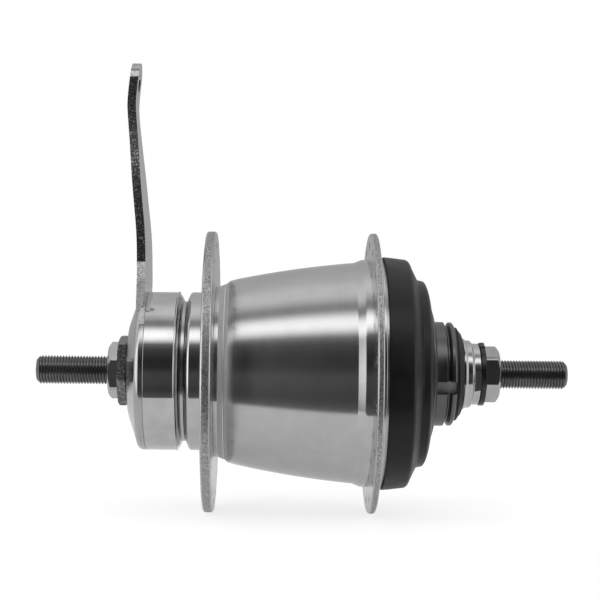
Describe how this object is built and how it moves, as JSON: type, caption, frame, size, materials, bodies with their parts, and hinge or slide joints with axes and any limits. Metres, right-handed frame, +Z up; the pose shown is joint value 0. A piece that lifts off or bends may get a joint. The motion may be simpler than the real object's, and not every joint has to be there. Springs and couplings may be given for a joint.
{
  "type": "coaster brake hub",
  "caption": "Internally geared rear bicycle hub with a back-pedal brake, a brake arm and a bare sprocket seat.",
  "frame": {"origin": "on the axle's centre line, midway between the outer faces of the two locknuts", "axes": "+X along the axle towards the drive side, +Z up along the brake arm, +Y away from the camera"},
  "size_m": [0.177, 0.0934, 0.1492],
  "materials": {
    "axle_steel": "dark plated, threaded",
    "nut_steel": "bright plated",
    "black_steel": "black oxide",
    "arm_steel": "polished plate",
    "cover_chrome": "mirror chrome",
    "shell_steel": "brushed round",
    "flange_steel": "polished",
    "cap_black": "satin black",
    "driver_black": "semi-gloss black",
    "seal_black": "satin",
    "hard_steel": "ground",
    "shoe_metal": "sintered",
    "roller_steel": "polished",
    "retainer_steel": "stamped",
    "spring_steel": "drawn wire",
    "pawl_steel": "dark hardened"
  },
  "bodies": {
    "axle_group": {"axle": "axle_steel", "left_locknut": "nut_steel", "arm_nut": "black_steel", "arm_washer": "nut_steel", "brake_arm": "arm_steel", "brake_dust_cover": "cover_chrome", "left_brake_cone": "hard_steel", "shoe_anchor": "hard_steel", "shoe_spring": "spring_steel", "fixed_sun_gear": "hard_steel", "right_cone": "nut_steel", "lock_washer": "black_steel", "right_locknut": "nut_steel", "axle_circlips": "spring_steel", "thrust_washers": "spring_steel"},
    "shell": {"hub_shell": "shell_steel", "left_flange": "flange_steel", "right_flange": "flange_steel", "right_ball_cup": "hard_steel", "right_dust_cap": "cap_black"},
    "driver": {"driver": "driver_black", "driver_seal": "seal_black", "clutch_spring": "spring_steel"},
    "clutch": {"sliding_clutch": "hard_steel"},
    "ring": {"ring_gear": "hard_steel", "pawl_spring": "spring_steel"},
    "pawl_1": {"drive_pawl_1": "pawl_steel"},
    "pawl_2": {"drive_pawl_2": "pawl_steel"},
    "pawl_3": {"drive_pawl_3": "pawl_steel"},
    "carrier": {"planet_carrier": "hard_steel", "carrier_plate": "hard_steel", "planet_pins": "roller_steel"},
    "planet_1": {"planet_gear_1": "hard_steel"},
    "planet_2": {"planet_gear_2": "hard_steel"},
    "planet_3": {"planet_gear_3": "hard_steel"},
    "free_sun": {"free_sun_gear": "hard_steel"},
    "roller_clutch": {"clutch_rollers": "roller_steel", "clutch_retainer": "retainer_steel"},
    "left_bearing": {"left_bearing_balls": "roller_steel", "left_ball_retainer": "retainer_steel"},
    "outer_bearing": {"outer_bearing_balls": "roller_steel", "outer_ball_retainer": "retainer_steel"},
    "cone_bearing": {"cone_bearing_balls": "roller_steel", "cone_ball_retainer": "retainer_steel"},
    "cam": {"brake_cam": "hard_steel"},
    "shoe_1": {"brake_shoe_1": "shoe_metal", "brake_roller_1": "roller_steel"},
    "shoe_2": {"brake_shoe_2": "shoe_metal", "brake_roller_2": "roller_steel"},
    "shoe_3": {"brake_shoe_3": "shoe_metal", "brake_roller_3": "roller_steel"},
    "shifter": {"shift_sleeve": "hard_steel"}
  },
  "joints": [
    {"name": "shell_spin", "type": "hinge", "parent": "axle_group", "child": "shell", "pos_m": [0, 0, 0], "axis": [1, 0, 0], "continuous": true},
    {"name": "driver_spin", "type": "hinge", "parent": "axle_group", "child": "driver", "pos_m": [0, 0, 0], "axis": [1, 0, 0], "continuous": true},
    {"name": "ring_spin", "type": "hinge", "parent": "axle_group", "child": "ring", "pos_m": [0, 0, 0], "axis": [1, 0, 0], "continuous": true},
    {"name": "carrier_spin", "type": "hinge", "parent": "axle_group", "child": "carrier", "pos_m": [0, 0, 0], "axis": [1, 0, 0], "continuous": true},
    {"name": "planet_spin_1", "type": "hinge", "parent": "carrier", "child": "planet_1", "pos_m": [0, 0, 0.018], "axis": [1, 0, 0], "continuous": true},
    {"name": "planet_spin_2", "type": "hinge", "parent": "carrier", "child": "planet_2", "pos_m": [0, -0.01559, -0.009], "axis": [1, 0, 0], "continuous": true},
    {"name": "planet_spin_3", "type": "hinge", "parent": "carrier", "child": "planet_3", "pos_m": [0, 0.01559, -0.009], "axis": [1, 0, 0], "continuous": true},
    {"name": "free_sun_spin", "type": "hinge", "parent": "axle_group", "child": "free_sun", "pos_m": [0, 0, 0], "axis": [1, 0, 0], "continuous": true},
    {"name": "left_bearing_spin", "type": "hinge", "parent": "axle_group", "child": "left_bearing", "pos_m": [0, 0, 0], "axis": [1, 0, 0], "continuous": true},
    {"name": "outer_bearing_spin", "type": "hinge", "parent": "axle_group", "child": "outer_bearing", "pos_m": [0, 0, 0], "axis": [1, 0, 0], "continuous": true},
    {"name": "cone_bearing_spin", "type": "hinge", "parent": "axle_group", "child": "cone_bearing", "pos_m": [0, 0, 0], "axis": [1, 0, 0], "continuous": true},
    {"name": "cam_turn", "type": "hinge", "parent": "axle_group", "child": "cam", "pos_m": [0, 0, 0], "axis": [1, 0, 0], "range_deg": [0, 20]},
    {"name": "shoe_slide_1", "type": "slide", "parent": "axle_group", "child": "shoe_1", "axis": [0, 0, 1], "range_m": [0, 0.0005]},
    {"name": "shoe_slide_2", "type": "slide", "parent": "axle_group", "child": "shoe_2", "axis": [0, -0.866, -0.5], "range_m": [0, 0.0005]},
    {"name": "shoe_slide_3", "type": "slide", "parent": "axle_group", "child": "shoe_3", "axis": [0, 0.866, -0.5], "range_m": [0, 0.0005]},
    {"name": "pawl_turn_1", "type": "hinge", "parent": "ring", "child": "pawl_1", "pos_m": [0.01443, -0.0145, 0.02511], "axis": [1, 0, 0], "range_deg": [0, 28]},
    {"name": "pawl_turn_2", "type": "hinge", "parent": "ring", "child": "pawl_2", "pos_m": [0.01443, -0.0145, -0.02511], "axis": [1, 0, 0], "range_deg": [0, 28]},
    {"name": "pawl_turn_3", "type": "hinge", "parent": "ring", "child": "pawl_3", "pos_m": [0.01443, 0.029, 0], "axis": [1, 0, 0], "range_deg": [0, 28]},
    {"name": "roller_clutch_turn", "type": "hinge", "parent": "carrier", "child": "roller_clutch", "pos_m": [0, 0, 0], "axis": [1, 0, 0], "range_deg": [0, 4]},
    {"name": "shift_turn", "type": "hinge", "parent": "axle_group", "child": "shifter", "pos_m": [0, 0, 0], "axis": [1, 0, 0], "range_deg": [0, 120]},
    {"name": "clutch_slide", "type": "slide", "parent": "driver", "child": "clutch", "axis": [-1, 0, 0], "range_m": [0, 0.0025]}
  ],
  "couplings": [
    {"joint": "ring_spin", "follows": "driver_spin", "ratio": 1},
    {"joint": "carrier_spin", "follows": "driver_spin", "ratio": 0.75},
    {"joint": "planet_spin_1", "follows": "driver_spin", "ratio": 0.75},
    {"joint": "planet_spin_2", "follows": "driver_spin", "ratio": 0.75},
    {"joint": "planet_spin_3", "follows": "driver_spin", "ratio": 0.75},
    {"joint": "free_sun_spin", "follows": "driver_spin", "ratio": 0.21429},
    {"joint": "left_bearing_spin", "follows": "shell_spin", "ratio": 0.56168},
    {"joint": "outer_bearing_spin", "follows": "driver_spin", "ratio": 0.46884},
    {"joint": "cone_bearing_spin", "follows": "driver_spin", "ratio": 0.5765},
    {"joint": "cam_turn", "follows": "shoe_slide_1", "rad_per_m": 698.13},
    {"joint": "shoe_slide_2", "follows": "shoe_slide_1", "ratio": 1},
    {"joint": "shoe_slide_3", "follows": "shoe_slide_1", "ratio": 1},
    {"joint": "pawl_turn_2", "follows": "pawl_turn_1", "ratio": 1},
    {"joint": "pawl_turn_3", "follows": "pawl_turn_1", "ratio": 1},
    {"joint": "clutch_slide", "follows": "shift_turn", "m_per_rad": 0.0011937}
  ]
}
